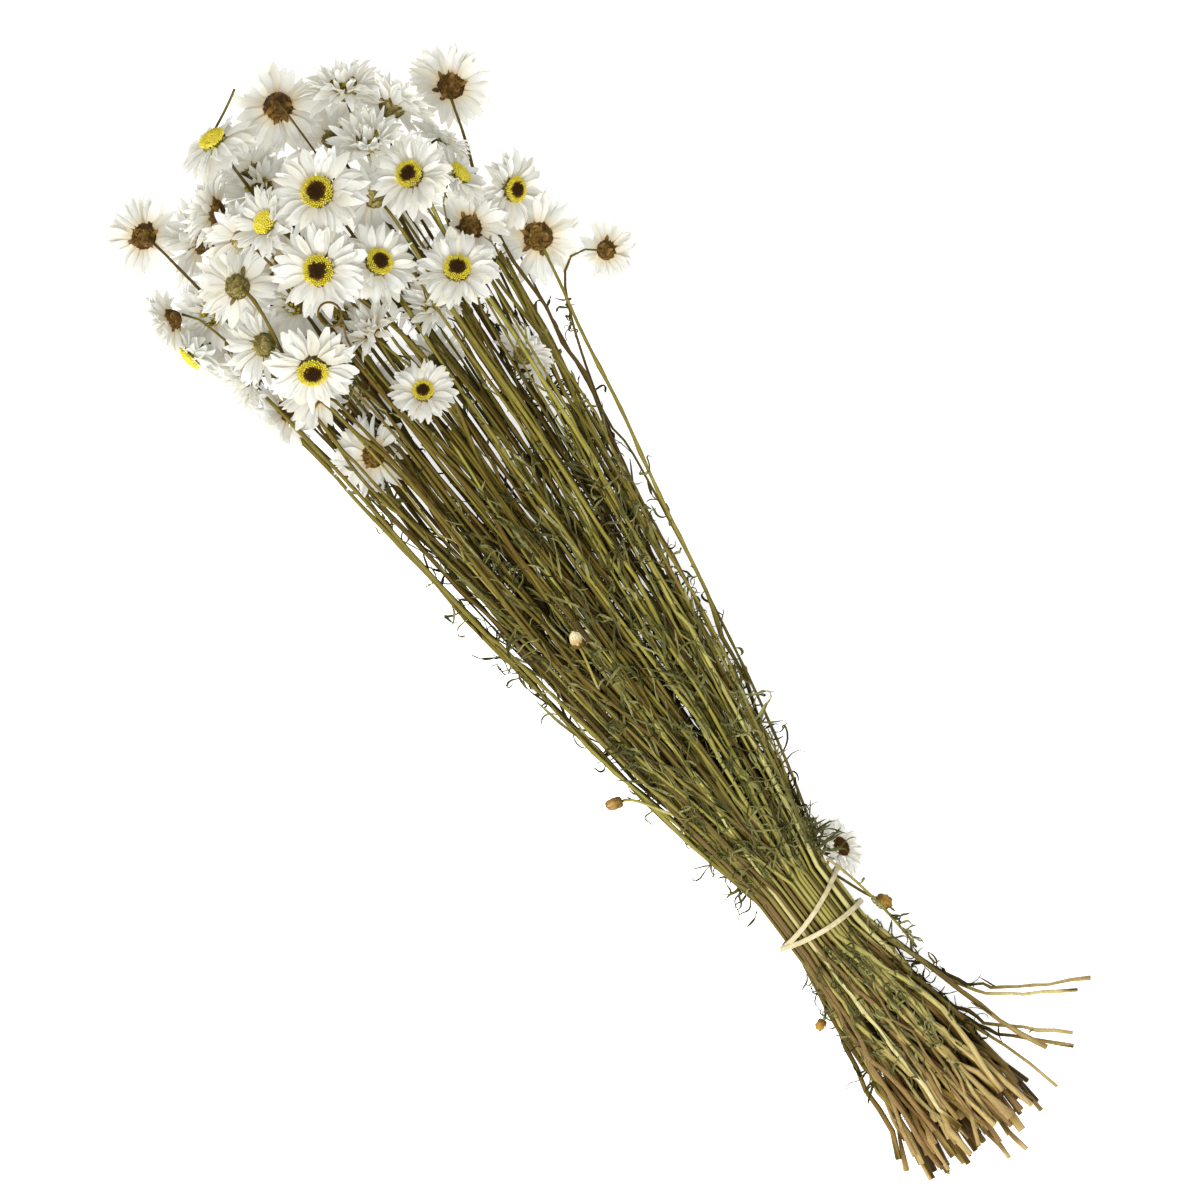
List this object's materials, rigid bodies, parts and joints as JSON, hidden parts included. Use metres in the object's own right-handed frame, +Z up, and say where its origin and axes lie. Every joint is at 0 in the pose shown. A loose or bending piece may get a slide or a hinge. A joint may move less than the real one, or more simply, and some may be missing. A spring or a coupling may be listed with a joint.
{
  "type": "dried everlasting daisy bunch",
  "caption": "Tied bunch of dried white everlasting daisies lying on its side, with thin olive stems, curled leaves and a rubber band round the stems.",
  "frame": {"origin": "middle of the bunch's outline seen from above, on the surface it lies on", "axes": "+X along the bunch from the cut ends to the flowers, +Z up"},
  "size_m": [0.5622, 0.1878, 0.0855],
  "materials": {
    "stems": "dry, matt, olive to straw",
    "petals": "papery, matt white",
    "florets": "grainy, matt yellow with a brown middle",
    "bracts": "papery, matt tan",
    "band": "matt cream"
  },
  "bodies": {
    "root": {"rubber_band": "band", "stem_bundle": "stems", "bloom_01": "petals", "bloom_02": "petals", "bloom_03": "petals", "bloom_04": "petals", "bloom_05": "petals", "bloom_06": "petals", "bloom_07": "petals", "bloom_08": "petals", "bloom_09": "petals", "bloom_10": "petals", "bloom_11": "petals", "bloom_12": "petals", "bloom_13": "petals", "bloom_14": "petals", "bloom_15": "petals", "bloom_16": "petals", "bloom_17": "petals", "bloom_18": "petals", "bloom_19": "petals", "bloom_20": "petals", "bloom_21": "petals", "bloom_22": "petals", "bloom_23": "petals", "bloom_24": "petals", "bloom_25": "petals", "bloom_26": "petals", "bloom_27": "petals", "bloom_28": "petals", "bloom_29": "petals", "bloom_30": "petals", "bloom_31": "petals", "bloom_32": "petals", "bloom_33": "petals", "bloom_34": "petals", "bloom_35": "petals", "bloom_36": "petals", "bloom_37": "petals", "bloom_38": "petals", "bloom_39": "petals", "bloom_40": "petals", "bloom_41": "petals", "bloom_42": "petals", "bloom_43": "petals", "bloom_44": "petals", "bloom_45": "petals", "disc_01": "florets", "disc_02": "florets", "disc_03": "florets", "disc_04": "florets", "disc_05": "florets", "disc_06": "florets", "disc_07": "florets", "disc_08": "florets", "disc_09": "florets", "disc_36": "florets", "bud_1": "bracts", "bud_2": "bracts", "bud_3": "bracts"}
  },
  "joints": []
}
